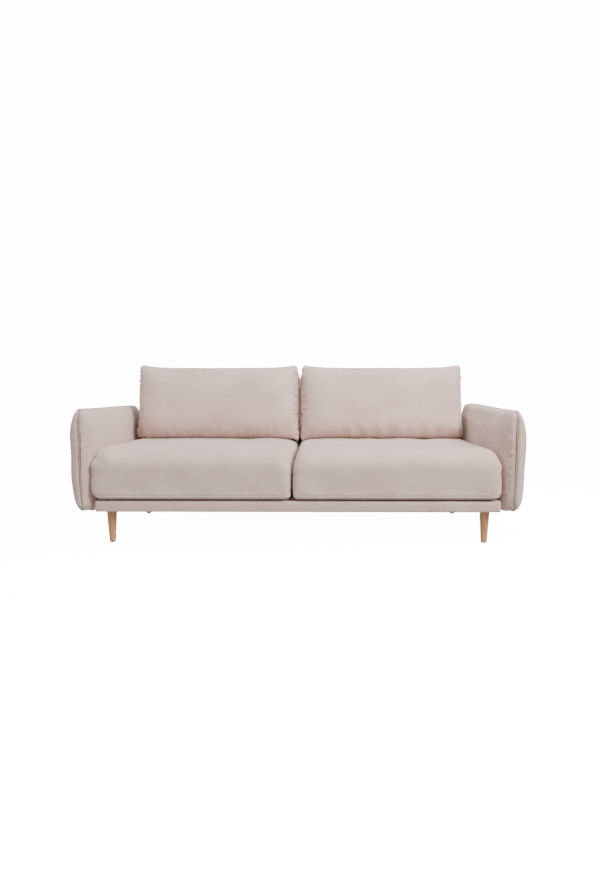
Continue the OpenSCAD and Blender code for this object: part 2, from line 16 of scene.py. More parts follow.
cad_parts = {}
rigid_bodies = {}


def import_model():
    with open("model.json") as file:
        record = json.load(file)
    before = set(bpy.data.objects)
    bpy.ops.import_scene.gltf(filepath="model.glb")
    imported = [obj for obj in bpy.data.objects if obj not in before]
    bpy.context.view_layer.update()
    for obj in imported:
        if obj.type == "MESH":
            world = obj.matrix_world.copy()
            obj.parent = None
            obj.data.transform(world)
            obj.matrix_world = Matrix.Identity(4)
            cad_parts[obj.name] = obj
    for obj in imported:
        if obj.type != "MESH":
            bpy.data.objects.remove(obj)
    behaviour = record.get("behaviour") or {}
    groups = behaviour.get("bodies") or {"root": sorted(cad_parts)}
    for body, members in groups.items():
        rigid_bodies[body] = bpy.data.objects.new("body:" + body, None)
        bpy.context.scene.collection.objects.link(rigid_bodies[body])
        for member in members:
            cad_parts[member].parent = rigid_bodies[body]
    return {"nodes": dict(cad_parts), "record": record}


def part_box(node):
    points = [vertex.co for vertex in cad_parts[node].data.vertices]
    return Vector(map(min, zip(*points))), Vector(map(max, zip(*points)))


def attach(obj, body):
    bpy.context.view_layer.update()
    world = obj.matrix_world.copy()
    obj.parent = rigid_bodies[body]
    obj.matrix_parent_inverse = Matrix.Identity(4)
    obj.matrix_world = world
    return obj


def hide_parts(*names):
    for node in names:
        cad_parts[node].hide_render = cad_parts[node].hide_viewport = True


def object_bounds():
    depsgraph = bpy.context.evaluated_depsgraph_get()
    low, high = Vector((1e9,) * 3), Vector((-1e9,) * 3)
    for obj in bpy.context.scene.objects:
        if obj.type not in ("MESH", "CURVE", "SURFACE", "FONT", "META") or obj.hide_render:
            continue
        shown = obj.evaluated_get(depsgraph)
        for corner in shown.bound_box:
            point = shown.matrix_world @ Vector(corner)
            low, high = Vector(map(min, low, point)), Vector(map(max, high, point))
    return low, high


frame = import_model()
cad_low, cad_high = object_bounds()
nodes = frame["nodes"]

SIDES = {"left": -1, "right": 1}

# Sizes of the parts that the covers follow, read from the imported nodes
seat_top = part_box("right_seat_cover")[1].z
seat_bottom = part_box("right_seat_cover")[0].z
seat_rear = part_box("right_seat_cover")[1].y
arm_inner_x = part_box("right_arm_inner_cover")[0].x
back_front_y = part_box("back_inside_cover")[0].y

# The back cushions' own frame: their lean, their size along it, the height of their zip and where they stand
pillow_lean = math.radians(12)
pillow_thick = 0.190
pillow_height = 0.440
pillow_zip_z = 0.125
pillow_foot = Vector((0, back_front_y - 0.140, seat_top + 0.002))


# ---------- arrays of points ----------


def points_of(obj):
    co = np.empty(len(obj.data.vertices) * 3)
    obj.data.vertices.foreach_get("co", co)
    return co.reshape(-1, 3)


def move_points(obj, co):
    obj.data.vertices.foreach_set("co", np.ascontiguousarray(co, dtype=np.float32).ravel())
    obj.data.update()


def normals_of(obj):
    n = np.empty(len(obj.data.vertices) * 3)
    obj.data.vertex_normals.foreach_get("vector", n)
    return n.reshape(-1, 3)


def step(x, start, end):
    """0 before start, 1 after end and a smooth rise between them; start may be above end."""
    t = np.clip((x - start) / (end - start), 0, 1)
    return t * t * (3 - 2 * t)


def bell(x, middle, half_width):
    return np.exp(-(((x - middle) / half_width) ** 2))


def ripple(co, wavelength, seed, stretch=(1, 1, 1), waves=16):
    """A smooth random field of RMS 1, made of plane waves.

    stretch multiplies the pattern's rate on each axis."""
    rng = np.random.default_rng(seed)
    k = rng.normal(size=(waves, 3))
    k *= (rng.uniform(0.6, 1.4, waves) / (np.linalg.norm(k, axis=1) * wavelength))[:, None]
    phase = rng.uniform(0, 2 * math.pi, waves)
    return np.sin(2 * math.pi * (co * np.array(stretch)) @ k.T + phase).sum(1) / math.sqrt(waves / 2)


# ---------- meshes ----------


def mesh_object(name, verts, faces):
    mesh = bpy.data.meshes.new(name)
    mesh.from_pydata([tuple(v) for v in verts], [], faces)
    obj = bpy.data.objects.new(name, mesh)
    bpy.context.scene.collection.objects.link(obj)
    return obj


def shade_smooth(obj):
    obj.data.polygons.foreach_set("use_smooth", [True] * len(obj.data.polygons))
    obj.data.update()


def bake_modifiers(obj):
    """Replaces an object's mesh with what its modifiers make of it."""
    shape = obj.evaluated_get(bpy.context.evaluated_depsgraph_get())
    mesh = bpy.data.meshes.new_from_object(shape)
    obj.modifiers.clear()
    obj.data = mesh


def hull_of(name, node):
    """The convex outer form of a CAD node, as a new object."""
    bm = bmesh.new()
    for v in nodes[node].data.vertices:
        bm.verts.new(v.co)
    bmesh.ops.remove_doubles(bm, verts=bm.verts, dist=1e-5)
    made = bmesh.ops.convex_hull(bm, input=bm.verts)
    spare = [g for g in made["geom_interior"] + made["geom_unused"] if isinstance(g, bmesh.types.BMVert)]
    bmesh.ops.delete(bm, geom=list(set(spare)), context="VERTS")
    bmesh.ops.recalc_face_normals(bm, faces=bm.faces)
    mesh = bpy.data.meshes.new(name)
    bm.to_mesh(mesh)
    bm.free()
    obj = bpy.data.objects.new(name, mesh)
    bpy.context.scene.collection.objects.link(obj)
    return obj


def smoothed(obj, co, rounds):
    """Evens out the points without shrinking the form."""
    pairs = np.empty(len(obj.data.edges) * 2, dtype=np.int64)
    obj.data.edges.foreach_get("vertices", pairs)
    a, b = pairs.reshape(-1, 2).T
    count = np.bincount(np.r_[a, b], minlength=len(co))[:, None]
    for _ in range(rounds):
        for rate in (0.5, -0.52):
            sums = [np.bincount(np.r_[a, b], np.r_[co[b, i], co[a, i]], len(co)) for i in range(3)]
            co = co + rate * (np.stack(sums, 1) / count - co)
    return co


def quad_form(name, node, voxel, rounds):
    """A CAD node's outer form as an even mesh of small quads, its corners softened."""
    obj = hull_of(name, node)
    remesh = obj.modifiers.new("Even", "REMESH")
    remesh.mode = "VOXEL"
    remesh.voxel_size = voxel
    bake_modifiers(obj)
    move_points(obj, smoothed(obj, points_of(obj), rounds))
    return obj


cloth_frames = 16
barely_held = 0.05               # points that are held less than this are free


def inflate(obj, inset, cap, held, pressure, slack=0.0):
    """Blows the form up as cloth from inset inside itself. held is 1 on sewn points.

    No point ends further than cap from the form it began with, so that a cover keeps its size."""
    co = points_of(obj)
    start = co - normals_of(obj) * (inset * (1 - held))[:, None]
    move_points(obj, start)
    group = obj.vertex_groups.new(name="held")
    for i in np.flatnonzero(held > barely_held):
        group.add([int(i)], float(held[i]), "REPLACE")
    cloth = obj.modifiers.new("Inflate", "CLOTH")
    s = cloth.settings
    s.quality = 3
    s.mass = 0.3
    s.tension_stiffness = 12
    s.compression_stiffness = 12
    s.shear_stiffness = 5
    s.bending_stiffness = 0.6
    s.shrink_min = -slack
    s.use_pressure = True
    s.uniform_pressure_force = pressure
    s.vertex_group_mass = "held"
    s.effector_weights.gravity = 0
    cloth.point_cache.frame_start = 1
    cloth.point_cache.frame_end = cloth_frames
    for f in range(1, cloth_frames + 1):
        bpy.context.scene.frame_set(f)
    shape = obj.evaluated_get(bpy.context.evaluated_depsgraph_get())
    swollen = np.empty(len(co) * 3)
    shape.data.vertices.foreach_get("co", swollen)
    obj.modifiers.clear()
    obj.vertex_groups.clear()
    bpy.context.scene.frame_set(1)
    move = swollen.reshape(-1, 3) - co
    length = np.linalg.norm(move, axis=1)[:, None] + 1e-9
    co = co + move / length * cap * np.tanh(length / cap)
    move_points(obj, smoothed(obj, co, 1))


def refine(obj):
    """One level of subdivision, applied."""
    sub = obj.modifiers.new("Refine", "SUBSURF")
    sub.levels = 1
    sub.render_levels = 1
    bake_modifiers(obj)


def fit(co, low, high):
    """Scales points on each axis so that they just fill the box from low to high."""
    now_low, now_high = co.min(0), co.max(0)
    low, high = np.array(low), np.array(high)
    return low + (co - now_low) * (high - low) / (now_high - now_low)


def tube(name, path, radius, sides=10):
    """A closed round cord along a loop of points."""
    path = np.array(path)
    ahead = np.roll(path, -1, 0) - np.roll(path, 1, 0)
    ahead /= np.linalg.norm(ahead, axis=1)[:, None]
    centre = path.mean(0)
    out = path - centre
    out -= (out * ahead).sum(1)[:, None] * ahead
    out /= np.linalg.norm(out, axis=1)[:, None]
    across = np.cross(ahead, out)
    turn = np.arange(sides) * 2 * math.pi / sides
    ring = np.cos(turn)[None, :, None] * out[:, None, :]
    ring = ring + np.sin(turn)[None, :, None] * across[:, None, :]
    verts = (path[:, None, :] + radius * ring).reshape(-1, 3)
    n = len(path)
    faces = [
        (
            i * sides + j,
            i * sides + (j + 1) % sides,
            (i + 1) % n * sides + (j + 1) % sides,
            (i + 1) % n * sides + j,
        )
        for i in range(n)
        for j in range(sides)
    ]
    obj = mesh_object(name, verts, faces)
    bm = bmesh.new()
    bm.from_mesh(obj.data)
    bmesh.ops.recalc_face_normals(bm, faces=bm.faces)
    bm.to_mesh(obj.data)
    bm.free()
    shade_smooth(obj)
    return obj


def rounded_loop(x0, x1, y0, y1, r, spacing):
    """Points round a rounded rectangle, evenly spaced."""
    line = []
    steps = 12
    corners = ((x1 - r, y1 - r), (x0 + r, y1 - r), (x0 + r, y0 + r), (x1 - r, y0 + r))
    for quarter, (cx, cy) in enumerate(corners):
        for i in range(steps + 1):
            b = math.radians(90 * quarter + i * 90 / steps)
            line.append((cx + r * math.cos(b), cy + r * math.sin(b)))
    line = np.array(line + line[:1])
    along = np.r_[0, np.cumsum(np.linalg.norm(np.diff(line, axis=0), axis=1))]
    at = np.linspace(0, along[-1], int(along[-1] / spacing), endpoint=False)
    return np.stack([np.interp(at, along, line[:, i]) for i in (0, 1)], 1)


def dress(obj, material, body, slot, *stands_for):
    """Gives a piece its material, smooth shading and body, and hides the CAD nodes it stands for; slot is
    not used.
    """
    obj.data.materials.clear()
    obj.data.materials.append(material)
    shade_smooth(obj)
    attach(obj, body)
    if stands_for:
        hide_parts(*stands_for)


def under_layer(name, coarse, skin, depth):
    """A filling that lies depth below a finished cover, on the cover's mesh from before its refinement."""
    obj = bpy.data.objects.new(name, coarse.copy())
    bpy.context.scene.collection.objects.link(obj)
    count = len(obj.data.vertices)
    inward = points_of(skin)[:count] - normals_of(skin)[:count] * depth
    move_points(obj, smoothed(obj, inward, 1))
    return obj


# ---------- materials ----------


class Shader:
    """A node material being wired up."""

    def __init__(self, name):
        self.material = bpy.data.materials.new(name)
        self.material.use_nodes = True
        self.tree = self.material.node_tree
        self.bsdf = self.tree.nodes["Principled BSDF"]
        self.coords = self.tree.nodes.new("ShaderNodeTexCoord")

    def set(self, **values):
        for name, value in values.items():
            self.bsdf.inputs[name.replace("_", " ")].default_value = value

    def link(self, source, target):
        self.tree.links.new(source, target)

    def math(self, operation, a, b=None):
        n = self.tree.nodes.new("ShaderNodeMath")
        n.operation = operation
        for socket, value in zip(n.inputs, (a, b)):
            if isinstance(value, (int, float)):
                socket.default_value = value
            elif value is not None:
                self.link(value, socket)
        return n.outputs[0]

    def split(self, vector):
        n = self.tree.nodes.new("ShaderNodeSeparateXYZ")
        self.link(vector, n.inputs[0])
        return n.outputs

    def noise(self, scale, stretch=(1, 1, 1), detail=3.0, roughness=0.55):
        place = self.tree.nodes.new("ShaderNodeMapping")
        place.inputs["Scale"].default_value = stretch
        self.link(self.coords.outputs["Object"], place.inputs["Vector"])
        n = self.tree.nodes.new("ShaderNodeTexNoise")
        n.inputs["Scale"].default_value = scale
        n.inputs["Detail"].default_value = detail
        n.inputs["Roughness"].default_value = roughness
        self.link(place.outputs["Vector"], n.inputs["Vector"])
        return n.outputs["Fac"]

    def ramp(self, value, *stops):
        n = self.tree.nodes.new("ShaderNodeValToRGB")
        for i, (at, colour) in enumerate(stops):
            e = n.color_ramp.elements[i] if i < 2 else n.color_ramp.elements.new(at)
            e.position = at
            e.color = (*colour, 1)
        self.link(value, n.inputs["Fac"])
        return n.outputs["Color"]

    def spread(self, value, low, high):
        """value from 0 to 1, taken to low to high."""
        return self.math("ADD", self.math("MULTIPLY", value, high - low), low)

    def bump(self, height, distance, strength):
        n = self.tree.nodes.new("ShaderNodeBump")
        n.inputs["Distance"].default_value = distance
        n.inputs["Strength"].default_value = strength
        self.link(height, n.inputs["Height"])
        self.link(n.outputs["Normal"], self.bsdf.inputs["Normal"])


def weave(shader, thread):
    """Plain-weave relief, -1 to 1, in the plane that the surface faces most."""
    at = shader.split(shader.coords.outputs["Object"])
    faces = shader.split(shader.coords.outputs["Normal"])
    waves = [shader.math("SINE", shader.math("MULTIPLY", a, 2 * math.pi / thread)) for a in at]
    total = None
    for axis in range(3):
        grid = shader.math("MULTIPLY", waves[(axis + 1) % 3], waves[(axis + 2) % 3])
        weight = shader.math("MULTIPLY", faces[axis], faces[axis])
        part = shader.math("MULTIPLY", grid, weight)
        total = part if total is None else shader.math("ADD", total, part)
    return total


def fabric(name, dark, light, thread=0.0016, relief=0.0005):
    """Woven upholstery cloth: plain weave, slubs in the yarn and a melange of tones."""
    s = Shader(name)
    threads = weave(s, thread)
    slub = s.noise(620, detail=2)
    tones = s.noise(150, detail=5, roughness=0.75)
    clouds = s.noise(5, detail=3)
    tone = s.math("ADD", s.math("MULTIPLY", tones, 0.62), s.math("MULTIPLY", clouds, 0.38))
    tone = s.math("ADD", tone, s.math("MULTIPLY", threads, 0.06))
    middle = tuple((a + b) / 2 for a, b in zip(dark, light))
    s.link(s.ramp(tone, (0.34, dark), (0.66, light), (0.5, middle)), s.bsdf.inputs["Base Color"])
    s.link(s.spread(slub, 0.82, 0.98), s.bsdf.inputs["Roughness"])
    height = s.math("ADD", s.math("MULTIPLY", threads, 0.5), slub)
    s.bump(height, relief, 0.6)
    s.set(Sheen_Weight=0.35, Sheen_Roughness=0.5, Specular_IOR_Level=0.25)
    return s.material


def wood(name, dark, light, grain, gloss=0.42, relief=0.00015, coat=0.0):
    """Wood with its grain along one axis: 0, 1 or 2."""
    s = Shader(name)
    stretch = tuple(0.06 if i == grain else 1 for i in range(3))
    figure = s.noise(70, stretch, detail=6, roughness=0.62)
    pores = s.noise(520, tuple(0.03 if i == grain else 1 for i in range(3)), detail=3)
    tone = s.math("ADD", s.math("MULTIPLY", figure, 0.72), s.math("MULTIPLY", pores, 0.28))
    middle = tuple(0.45 * a + 0.55 * b for a, b in zip(dark, light))
    s.link(s.ramp(tone, (0.32, dark), (0.68, light), (0.47, middle)), s.bsdf.inputs["Base Color"])
    s.link(s.spread(pores, gloss - 0.08, gloss + 0.14), s.bsdf.inputs["Roughness"])
    s.bump(tone, relief, 0.5)
    s.set(Coat_Weight=coat, Coat_Roughness=0.3)
    return s.material


def grainy(name, dark, light, scale, gloss, relief, metal=0.0, stretch=(1, 1, 1)):
    """Foam, fibre, lining, nylon or plated steel: tone, gloss and relief follow one noise."""
    s = Shader(name)
    grain = s.noise(scale, stretch, detail=5, roughness=0.65)
    s.link(s.ramp(grain, (0.3, dark), (0.7, light)), s.bsdf.inputs["Base Color"])
    s.link(s.spread(grain, gloss[0], gloss[1]), s.bsdf.inputs["Roughness"])
    s.bump(grain, relief, 0.5)
    s.set(Metallic=metal)
    return s.material


def striped(name, dark, light, pitch, axis, relief):
    """A woven strap or tape: ribs across one axis under a fine grain."""
    s = Shader(name)
    at = s.split(s.coords.outputs["Object"])[axis]
    ribs = s.math("SINE", s.math("MULTIPLY", at, 2 * math.pi / pitch))
    grain = s.noise(400, detail=3)
    tone = s.math("ADD", s.math("MULTIPLY", ribs, 0.18), grain)
    s.link(s.ramp(tone, (0.3, dark), (0.7, light)), s.bsdf.inputs["Base Color"])
    s.link(s.spread(grain, 0.7, 0.95), s.bsdf.inputs["Roughness"])
    s.bump(tone, relief, 0.6)
    return s.material


MATERIALS = {
    "upholstery": fabric("upholstery_cloth", (0.47, 0.33, 0.28), (0.63, 0.475, 0.415)),
    # The welt cord is the upholstery cloth made darker: painted shade standing for the shadow along the arm
    # and back seams.
    "welt_cord": fabric("welt_cloth_painted_shade", (0.27, 0.185, 0.155), (0.38, 0.275, 0.235), relief=0.0003),
    # The seat welt is the upholstery cloth made lighter: painted highlight standing for the light catching
    # the seat piping.
    "seat_welt": fabric("seat_welt_cloth_painted_highlight", (0.56, 0.42, 0.36), (0.72, 0.58, 0.52), relief=0.0003),
    "leg_wood": wood("leg_beech", (0.36, 0.15, 0.055), (0.60, 0.285, 0.125), 2, coat=0.2),
    "frame_timber": wood("frame_softwood", (0.52, 0.36, 0.20), (0.72, 0.56, 0.36), 0, 0.62),
    "hardboard": grainy("hardboard_sheet", (0.24, 0.15, 0.085), (0.38, 0.26, 0.16), 300, (0.55, 0.75),
                        0.0002),
    "webbing": striped("webbing_strap", (0.46, 0.39, 0.27), (0.66, 0.59, 0.44), 0.004, 1, 0.0004),
    "deck_lining": fabric("deck_lining_cloth", (0.20, 0.175, 0.15), (0.32, 0.285, 0.25), thread=0.0012),
    "dust_lining": grainy("dust_lining_felt", (0.012, 0.012, 0.012), (0.04, 0.04, 0.04), 380, (0.8, 0.97),
                          0.0003),
    "glide": grainy("glide_nylon", (0.16, 0.14, 0.12), (0.23, 0.20, 0.175), 260, (0.35, 0.55), 0.00008),
    "zinc_steel": grainy("zinc_plate", (0.48, 0.49, 0.51), (0.66, 0.67, 0.68), 180, (0.25, 0.45), 0.00005,
                         metal=1.0),
    "foam": grainy("foam_cells", (0.72, 0.64, 0.42), (0.90, 0.84, 0.64), 520, (0.85, 0.98), 0.0005),
    "fibre": grainy("fibre_fill", (0.80, 0.79, 0.76), (0.94, 0.93, 0.90), 140, (0.85, 0.98), 0.0012,
                    stretch=(1, 0.5, 1)),
    "zip_tape": striped("zip_tape_weave", (0.33, 0.265, 0.235), (0.50, 0.42, 0.375), 0.0015, 0, 0.0003),
    "zip_metal": grainy("zip_nickel", (0.42, 0.42, 0.43), (0.62, 0.62, 0.63), 240, (0.2, 0.38), 0.00004,
                        metal=1.0),
}


# ---------- arms ----------

seam_bow_z = 0.47
seam_bow = 0.10
seam_peak_x = 1.081
seam_foot_x = 1.060
seam_foot_z = 0.162
seam_rise = math.tan(math.radians(1.5))


def seam_line(z):
    """X of the CAD welt's plane at height z, on the right-hand arm."""
    return seam_foot_x + (z - seam_foot_z) * seam_rise


def seam_curve(z):
    """X of the sewn seam at height z: it bows outward at mid-height."""
    return seam_peak_x - seam_bow * (z - seam_bow_z) ** 2


def bow_seam(co, side):
    """Bends the panels near the welt so that their seam follows its curve."""
    x = co[:, 0] * side
    shift = (seam_curve(co[:, 2]) - seam_line(co[:, 2])) * bell(x, seam_line(co[:, 2]), 0.040)
    co[:, 0] += side * shift
    return co


# Where the inner face of an arm curves away towards its front: Y, and how far outward of the flat face
arm_face_y = (-0.454, -0.431, -0.399, -0.355)
arm_face_out = (0.034, 0.017, 0.006, 0.0)


def arm_face(y):
    """X of the right-hand arm's inner face at Y."""
    return arm_inner_x + np.interp(y, arm_face_y, arm_face_out)


# How far each arm's soft top stands above its CAD form, at its front and at its rear
arm_rise = {-1: (0.013, 0.003), 1: (0.003, 0.017)}
arm_corner_y = -0.447
arm_corner_z = 0.665


def arm_form(co, side):
    """Moves for all parts of an arm: a higher top, a tighter front corner and a rounder shoulder."""
    x = co[:, 0] * side
    front, rear = arm_rise[side]
    along = np.clip((co[:, 1] + 0.45) / 0.85, 0, 1)
    high = step(co[:, 2], 0.36, 0.67)
    shoulder = step(x, seam_peak_x + 0.002, 1.145) * step(co[:, 2], 0.50, 0.67)
    corner = np.exp(-((co[:, 1] - arm_corner_y) ** 2 + (co[:, 2] - arm_corner_z) ** 2) / 0.040 ** 2)
    corner = corner * bell(x, seam_peak_x, 0.045)
    co[:, 2] += high * (front + (rear - front) * along) - shoulder * 0.020 + corner * 0.009
    co[:, 1] -= corner * 0.007
    return bow_seam(co, side)


def arm_inward(y, z):
    """Unit direction in YZ from a point of an arm towards the arm's middle, square to its outline."""
    low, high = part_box("right_arm_inner_cover")
    dy = np.clip(y, low.y + 0.12, high.y - 0.12) - y
    dz = np.clip(z, low.z + 0.12, high.z - 0.12) - z
    length = np.hypot(dy, dz) + 1e-9
    return dy / length, dz / length


def arm_panel(side_name, half):
    side = SIDES[side_name]
    node = f"{side_name}_arm_{half}_cover"
    obj = quad_form(f"{side_name}_arm_{half}_skin", node, 0.010, 5)
    co = points_of(obj)
    from_seam = np.abs(co[:, 0] * side - seam_line(co[:, 2]))
    held = 1 - step(from_seam, 0.003, 0.010)
    inflate(obj, 0.003, 0.006, held, pressure=4.0)
    coarse = obj.data.copy()
    refine(obj)
    co = points_of(obj)
    from_seam = np.abs(co[:, 0] * side - seam_line(co[:, 2]))
    puff = step(from_seam, 0.002, 0.020) * (1 - step(from_seam, 0.03, 0.09)) * 0.0045
    valley = bell(from_seam, 0.0, 0.008) * 0.0030
    tucks = ripple(co, 0.035, 11 + side, (0.25, 1, 1)) * bell(from_seam, 0.012, 0.022) * 0.0009
    soft = ripple(co, 0.22, 5 + side) * 0.0013 * step(from_seam, 0.004, 0.05)
    co += normals_of(obj) * (puff - valley + tucks + soft)[:, None]
    if half == "inner":
        co[:, 0] = side * np.maximum(co[:, 0] * side, arm_face(co[:, 1]) - 0.001)
    move_points(obj, arm_form(co, side))
    foam = under_layer(f"{side_name}_arm_{half}_padding", coarse, obj, 0.006)
    co = points_of(foam)
    clear = 0.007 * (-1 if half == "inner" else 1)
    seam_x = seam_curve(co[:, 2]) + clear
    x = co[:, 0] * side
    co[:, 0] = side * (np.minimum(x, seam_x) if half == "inner" else np.maximum(x, seam_x))
    dy, dz = arm_inward(co[:, 1], co[:, 2])
    deeper = 0.012 * bell(co[:, 0] * side - seam_x, 0, 0.030)
    co[:, 1] += dy * deeper
    co[:, 2] += dz * deeper
    move_points(foam, co)
    dress(obj, MATERIALS["upholstery"], "frame", "upholstery", node)
    dress(foam, MATERIALS["foam"], "frame", "foam", f"{side_name}_arm_{half}_foam")


def arm_welt(side_name):
    """The cord between an arm's two panels, laid down into the valley where they meet."""
    side = SIDES[side_name]
    low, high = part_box(f"{side_name}_arm_welt")
    cord_r = 0.0040
    loop = rounded_loop(low.y, high.y, low.z, high.z, 0.054, 0.008)
    path = arm_form(np.array([(side * seam_line(z), y, z) for y, z in loop]), side)
    shapes = bpy.context.evaluated_depsgraph_get()
    panels = [(BVHTree.FromObject(bpy.data.objects[f"{side_name}_arm_{half}_skin"], shapes), aside * side)
              for half, aside in (("inner", -0.007), ("outer", 0.007))]
    found = {}
    for i, point in enumerate(path):
        inward = Vector((0, *arm_inward(point[1], point[2])))
        start = Vector(point) - inward * 0.03
        hits = [tree.ray_cast(start + Vector((aside, 0, 0)), inward, 0.07)[0] for tree, aside in panels]
        if None not in hits:
            found[i] = (np.array(hits[0]) + np.array(hits[1])) / 2
    known = sorted(found)
    for axis in (1, 2):
        laid = [found[i][axis] for i in known]
        path[:, axis] = np.interp(np.arange(len(path)), known, laid, period=len(path))
    for _ in range(14):
        path = (np.roll(path, 1, 0) + 2 * path + np.roll(path, -1, 0)) / 4
    cord = tube(f"{side_name}_arm_welt_cord", path, cord_r)
    dress(cord, MATERIALS["welt_cord"], "frame", "welt_cord", f"{side_name}_arm_welt")


# ---------- back unit ----------


back_seam_y = back_front_y + 0.055


def back_panel(half, foam_node):
    node = f"back_{half}_cover"
    obj = quad_form(f"back_{half}_skin", node, 0.014, 4)
    co = points_of(obj)
    held = 1 - step(np.abs(co[:, 1] - back_seam_y), 0.004, 0.013)
    inflate(obj, 0.003, 0.006, held, pressure=4.0)
    coarse = obj.data.copy()
    refine(obj)
    co = points_of(obj)
    from_seam = np.abs(co[:, 1] - back_seam_y)
    puff = step(from_seam, 0.002, 0.02) * (1 - step(from_seam, 0.03, 0.08)) * 0.003
    soft = ripple(co, 0.25, 21) * 0.0014 * step(from_seam, 0.004, 0.04)
    co += normals_of(obj) * (puff + soft)[:, None]
    co[:, 1] = np.maximum(co[:, 1], back_front_y - 0.001)
    co[:, 0] *= (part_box(node)[1].x + 0.003) / np.abs(co[:, 0]).max()
    # Its ends swell behind the front edge, into the hollow where each arm's face curves away
    end = step(np.abs(co[:, 0]), 0.980, 1.008) * step(co[:, 1], back_front_y + 0.002, back_front_y + 0.028)
    co[:, 0] += np.sign(co[:, 0]) * end * 0.010
    move_points(obj, co)
    foam = under_layer(f"back_{half}_padding", coarse, obj, 0.007)
    dress(obj, MATERIALS["upholstery"], "frame", "upholstery", node)
    dress(foam, MATERIALS["foam"], "frame", "foam", foam_node)


def back_welt():
    low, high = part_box("back_inside_cover")
    loop = rounded_loop(low.x, high.x, low.z, high.z, 0.040, 0.008)
    path = [(x, back_seam_y, z) for x, z in loop]
    cord = tube("back_welt_cord", path, 0.0028)
    dress(cord, MATERIALS["welt_cord"], "frame", "welt_cord")


# ---------- base ----------


def base_cover():
    """Cloth drawn over the front rail: a channel that is open to the rear, slightly padded on its face."""
    low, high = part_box("base_cover")
    r = 0.008
    reach = high.y - low.y
    arc = [math.radians(a) for a in range(0, 91, 15)]
    top = [(low.y + r - r * math.sin(a), high.z - r + r * math.cos(a)) for a in arc]
    face = [(low.y, z) for z in np.linspace(high.z - r, low.z + r, 9)[1:-1]]
    foot = [(low.y + r - r * math.cos(a), low.z + r - r * math.sin(a)) for a in arc]
    profile = [(low.y + reach * k, high.z) for k in (1, 0.8, 0.6, 0.4)] + top + face + foot
    profile += [(low.y + reach * k, low.z) for k in (0.4, 0.6, 0.8, 1)]
    steps = 240
    xs = np.linspace(low.x, high.x, steps)
    verts = np.array([(x, y, z) for x in xs for y, z in profile])
    n = len(profile)
    faces = [
        (i * n + j, i * n + j + 1, (i + 1) * n + j + 1, (i + 1) * n + j)
        for i in range(steps - 1)
        for j in range(n - 1)
    ]
    front = bell(verts[:, 1], low.y, 0.006) * bell(verts[:, 2], (low.z + high.z) / 2, 0.022)
    pull = ripple(verts, 0.09, 31, (1, 1, 0.4)) * 0.0005
    verts[:, 1] -= front * 0.0022 + bell(verts[:, 1], low.y, 0.01) * pull
    obj = mesh_object("base_cover_skin", verts, faces)
    thick = obj.modifiers.new("Cloth", "SOLIDIFY")
    thick.thickness = 0.0015
    thick.offset = 0
    dress(obj, MATERIALS["upholstery"], "frame", "upholstery", "base_cover")


# ---------- seat cushions ----------

seat_welt_z = seat_bottom + 0.016
seat_zip_z = seat_bottom + 0.102
front_lift = 0.0085              # how far the lower front edge stands clear of the rail
seat_bulge = {-1: 0.034, 1: 0.016}
seat_swell = {-1: 0.030, 1: 0.014}


def lifted(y):
    """How far a seat cushion's lower edge is raised at Y."""
    return front_lift * step(y, -0.390, -0.435)


def seat_shape(co, out, side, low, high):
    """Settles a blown-up seat cushion on its deck, against its neighbours and under its back cushion."""
    x = co[:, 0] * side
    # Full at the front corner, where the arm's face curves away from it
    bulge = step(co[:, 1], -0.350, -0.425) * bell(co[:, 2], seat_bottom + 0.115, 0.115) * step(x, 0.90, 1.0)
    co[:, 0] += side * bulge * seat_bulge[side]
    # Plump along its outer upper edge, more so at the front
    edge = 2 * np.clip(out[:, 0] * side, 0, 1) * np.clip(out[:, 2], 0, 1)
    co += out * (edge * (0.008 + seat_swell[side] * step(co[:, 1], 0.25, -0.38)))[:, None]
    # Crowned on top, between its edges
    across = np.clip((co[:, 0] - low.x) / (high.x - low.x), 0, 1)
    along = np.clip((co[:, 1] + 0.47) / 0.82, 0, 1)
    top = step(out[:, 2], 0.35, 0.9)
    crown = np.sin(math.pi * across) ** 0.6 * np.sin(math.pi * along) ** 0.6
    co[:, 2] += top * (0.007 * crown - 0.002)
    # The lower front edge stands clear of the rail
    co[:, 2] += lifted(co[:, 1]) * (1 - step(co[:, 2], seat_bottom + 0.006, seat_bottom + 0.10))
    # A shallow valley on each side of the welt
    beside = bell(co[:, 2], seat_welt_z + 0.0045, 0.008) * (1 - step(np.abs(out[:, 2]), 0.75, 0.95))
    co -= out * (beside * 0.0022)[:, None]
    # Small pulls run up from the welt, and the cloth is never quite flat
    rise = co[:, 2] - seat_welt_z
    above = step(rise, 0, 0.01) * np.exp(-np.maximum(rise, 0) / 0.03)
    pulls = ripple(co, 0.032, 41 + side, (1, 1, 0.2)) * above
    soft = ripple(co, 0.20, 43 + side) * 0.0016 + ripple(co, 0.07, 44 + side) * 0.0004
    co += out * (pulls * 0.0007 + soft * step(co[:, 2], seat_bottom + 0.02, seat_bottom + 0.06))[:, None]
    # Flat behind, round its zip
    behind = step(out[:, 1], 0.4, 0.8) * bell(co[:, 2], seat_zip_z, 0.055)
    co[:, 1] += (seat_rear - 0.0006 - co[:, 1]) * np.minimum(1, behind * 1.4)
    co[:, 1] = np.minimum(co[:, 1], seat_rear - 0.0004)
    co[:, 2] = np.maximum(co[:, 2], seat_bottom + 0.0002)
    co[:, 0] = side * np.minimum(co[:, 0] * side, arm_face(co[:, 1]) - 0.0025)
    return co


